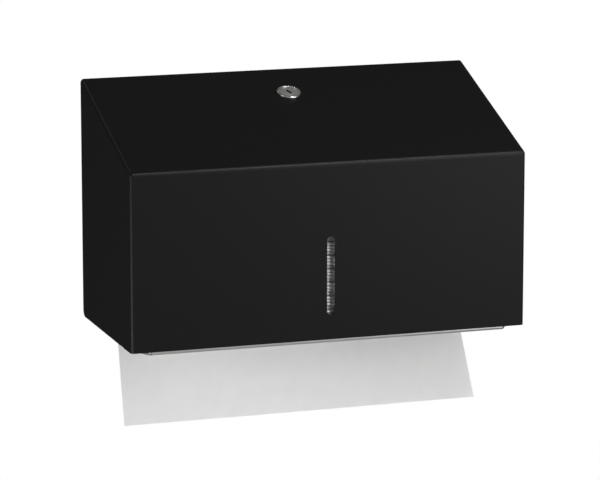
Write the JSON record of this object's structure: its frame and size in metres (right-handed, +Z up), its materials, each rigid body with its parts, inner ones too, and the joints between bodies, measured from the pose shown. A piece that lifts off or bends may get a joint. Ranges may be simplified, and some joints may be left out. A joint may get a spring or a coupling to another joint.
{
  "type": "folded paper towel dispenser",
  "caption": "Wall-hung black steel dispenser for folded paper towels: sloped locking cover hinged at its lower back, viewing slot, bare stainless tray with a towel hanging out.",
  "frame": {"origin": "centre of the four wall screws, on the wall plane", "axes": "+X across the front to the viewer's right, +Y into the wall (the front faces -Y), +Z up"},
  "size_m": [0.282, 0.125, 0.2341],
  "materials": {
    "black_powder_coat": "matte black powder coat, fine texture",
    "stainless": "bare stainless sheet, brushed along its length",
    "plate_steel": "zinc-coated sheet, dull",
    "zinc_steel": "bright zinc plate",
    "rivet_steel": "plain steel rivet",
    "pin_steel": "turned steel",
    "nickel": "bright nickel plate",
    "nickel_face": "satin nickel plate",
    "nylon": "natural nylon",
    "black_rubber": "matte black rubber",
    "towel_paper": "soft white tissue, lightly embossed"
  },
  "bodies": {
    "root": {"back_plate": "plate_steel", "towel_tray": "stainless", "tray_rivets": "rivet_steel", "cover_stops": "black_rubber", "hinge_bush_left": "nylon", "hinge_bush_right": "nylon", "lock_keeper": "zinc_steel", "keeper_rivets": "rivet_steel", "towel_stack": "towel_paper"},
    "cover": {"cover_shell": "black_powder_coat", "hinge_pin_left": "pin_steel", "hinge_pin_right": "pin_steel", "lock_housing": "nickel", "lock_washer": "zinc_steel", "lock_nut": "zinc_steel"},
    "lock": {"lock_plug": "nickel_face", "lock_stop_washer": "zinc_steel", "lock_cam": "zinc_steel", "cam_washer": "zinc_steel", "cam_screw": "zinc_steel"},
    "towel": {"hanging_towel": "towel_paper"}
  },
  "joints": [
    {"name": "cover_hinge", "type": "hinge", "parent": "root", "child": "cover", "pos_m": [0, -0.012, -0.078], "axis": [1, 0, 0], "range_deg": [0, 90]},
    {"name": "lock_turn", "type": "hinge", "parent": "cover", "child": "lock", "pos_m": [0, -0.033, 0.07086], "axis": [0, 0.3454, -0.9385], "range_deg": [0, 90]},
    {"name": "towel_pull", "type": "slide", "parent": "root", "child": "towel", "axis": [0, 0, -1], "range_m": [0, 0.025]}
  ]
}
